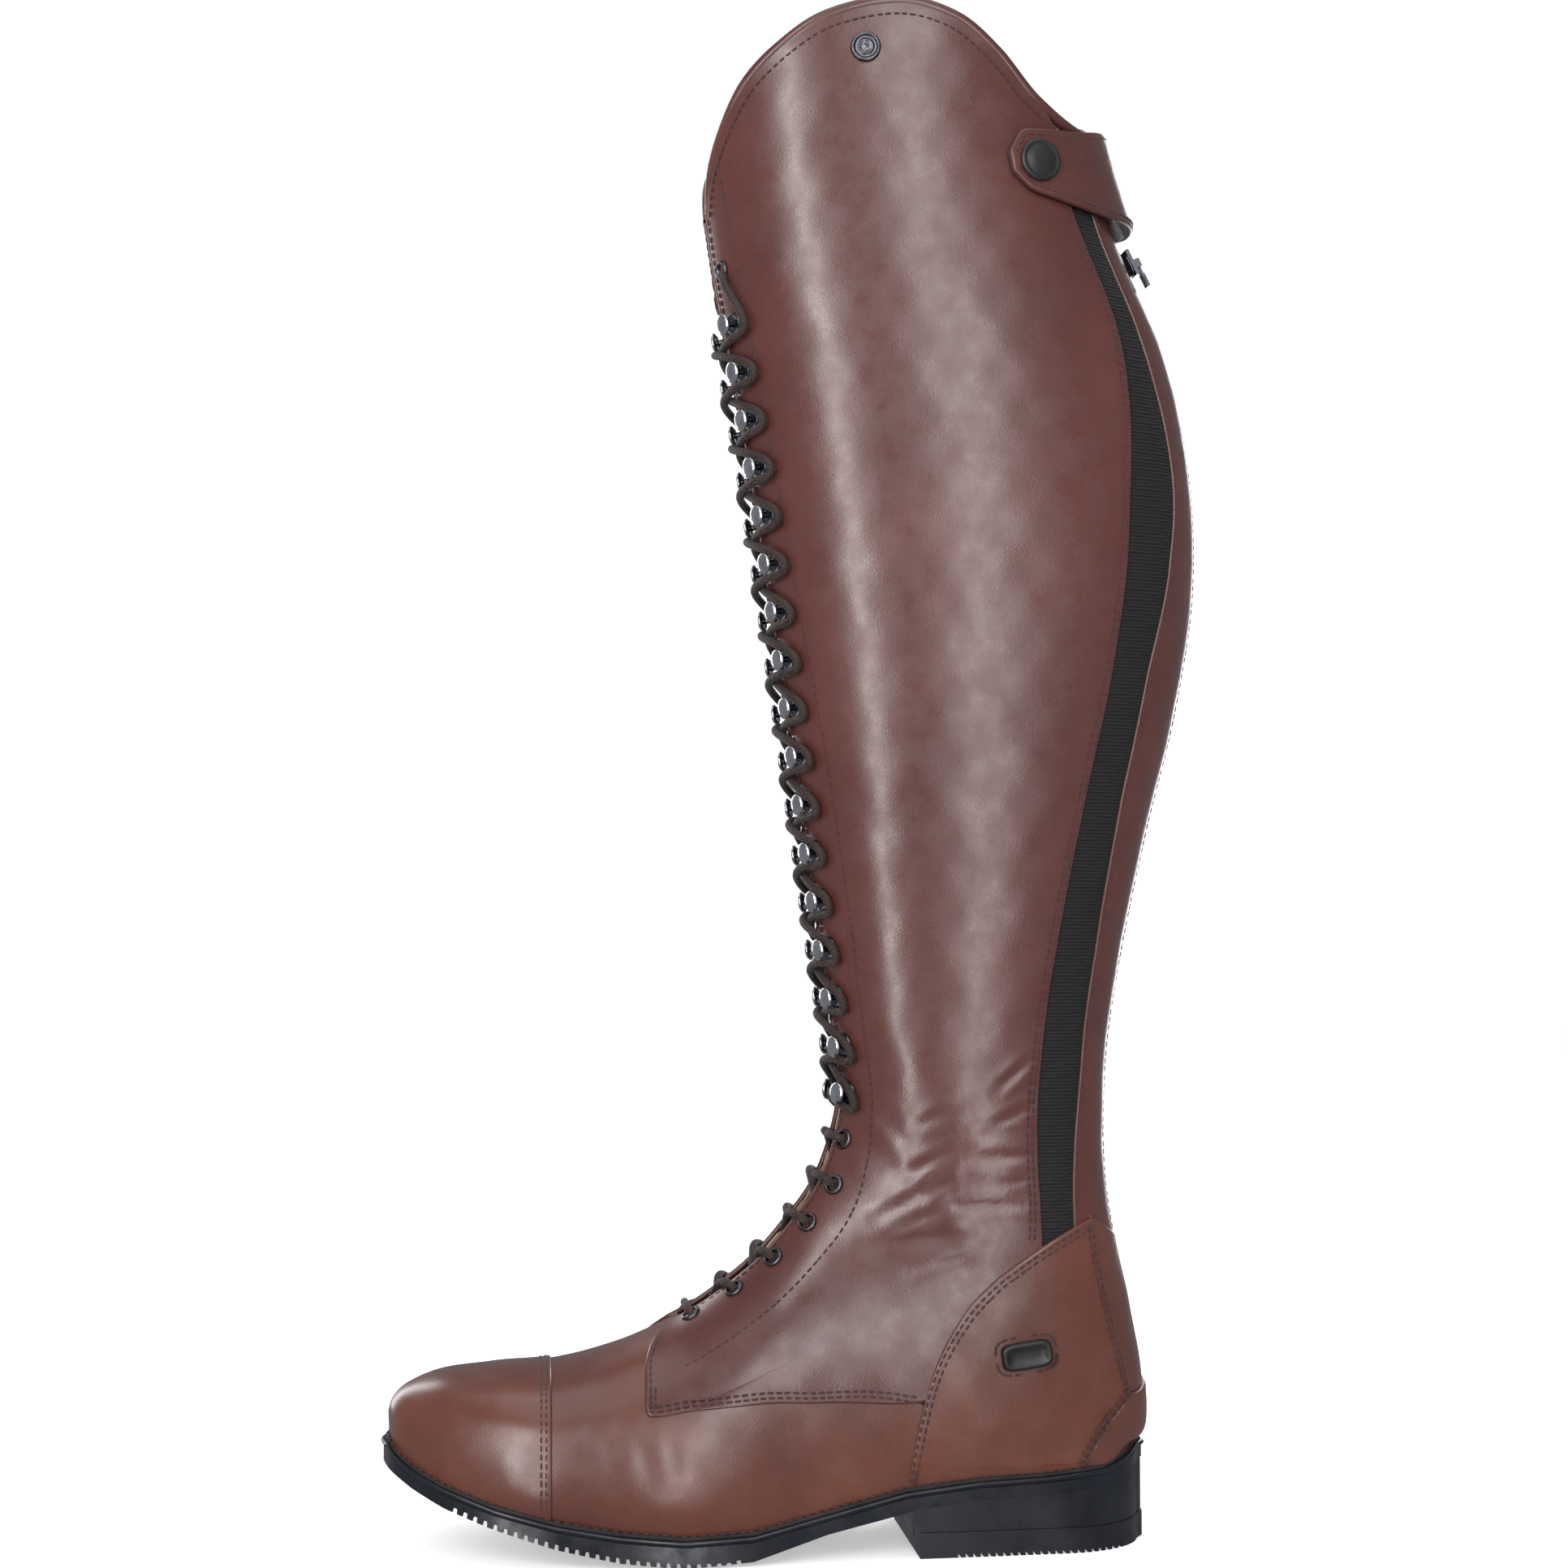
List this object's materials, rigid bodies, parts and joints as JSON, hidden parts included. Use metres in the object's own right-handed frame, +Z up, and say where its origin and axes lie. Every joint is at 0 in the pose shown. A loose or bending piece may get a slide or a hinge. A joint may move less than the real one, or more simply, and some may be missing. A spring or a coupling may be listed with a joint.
{
  "type": "riding boot",
  "caption": "Tall lace-front leather riding boot, left foot, with a raised outer top, elastic gore, rear zip, snap strap, spur rest and rubber sole.",
  "frame": {"origin": "middle of the standing boot's outline, on the ground plane under heel and ball", "axes": "+Z up the shaft, +X from toe to heel, +Y from the outer (lateral) to the inner (medial) side"},
  "size_m": [0.2952, 0.0972, 0.5521],
  "materials": {
    "brown_leather": "polished",
    "lining_leather": "matt",
    "dark_leather": "matt",
    "rubber": "satin",
    "welt_leather": "matt",
    "board": "matt",
    "cork": "matt",
    "steel": "plain",
    "footbed_fabric": "matt",
    "elastic": "ribbed",
    "zip_fabric": "woven",
    "zip_nylon": "satin",
    "dark_metal": "gunmetal",
    "black_plastic": "satin",
    "lace_cord": "braided"
  },
  "bodies": {
    "boot": {"back_stay": "brown_leather", "back_strip_lateral": "brown_leather", "back_strip_medial": "brown_leather", "badge": "dark_metal", "cork_filler": "cork", "counter_lateral": "brown_leather", "counter_medial": "brown_leather", "elastic_gore": "elastic", "eyelets_lateral": "dark_metal", "eyelets_medial": "dark_metal", "facing_stay_lateral": "lining_leather", "facing_stay_medial": "lining_leather", "footbed": "footbed_fabric", "heel_block": "rubber", "heel_foxing": "brown_leather", "heel_stiffener": "board", "heel_top_lift": "rubber", "insole_board": "board", "lace": "lace_cord", "outsole": "rubber", "shaft_lining_lateral": "lining_leather", "shaft_lining_medial": "lining_leather", "shaft_panel_lateral": "brown_leather", "shaft_panel_medial": "brown_leather", "snap_stud": "dark_metal", "speed_hooks_lateral": "dark_metal", "speed_hooks_medial": "dark_metal", "spur_rest_lateral": "rubber", "spur_rest_medial": "rubber", "steel_shank": "steel", "toe_cap": "brown_leather", "toe_puff": "board", "tongue": "dark_leather", "top_binding_lateral": "brown_leather", "top_binding_medial": "brown_leather", "vamp": "brown_leather", "vamp_lining": "lining_leather", "welt": "welt_leather", "zip_bottom_stop": "dark_metal", "zip_coil_lateral": "zip_nylon", "zip_coil_medial": "zip_nylon", "zip_tape_lateral": "zip_fabric", "zip_tape_medial": "zip_fabric", "zip_top_stop_lateral": "dark_metal", "zip_top_stop_medial": "dark_metal"},
    "strap": {"strap": "brown_leather", "snap_cap": "black_plastic"},
    "slider": {"zip_slider": "dark_metal"},
    "pull": {"zip_pull": "black_plastic"}
  },
  "joints": [
    {"name": "strap_fold", "type": "hinge", "parent": "boot", "child": "strap", "pos_m": [0.1055, 0.0282, 0.499], "axis": [0, 0, 1], "range_deg": [0, 100]},
    {"name": "zip_travel", "type": "hinge", "parent": "boot", "child": "slider", "pos_m": [-0.0923, 0, 0.359], "axis": [0, 1, 0], "range_deg": [0, 40.2]},
    {"name": "pull_pivot", "type": "hinge", "parent": "slider", "child": "pull", "pos_m": [0.12845, 0, 0.46756], "axis": [0, 1, 0], "range_deg": [-85, 0]}
  ]
}
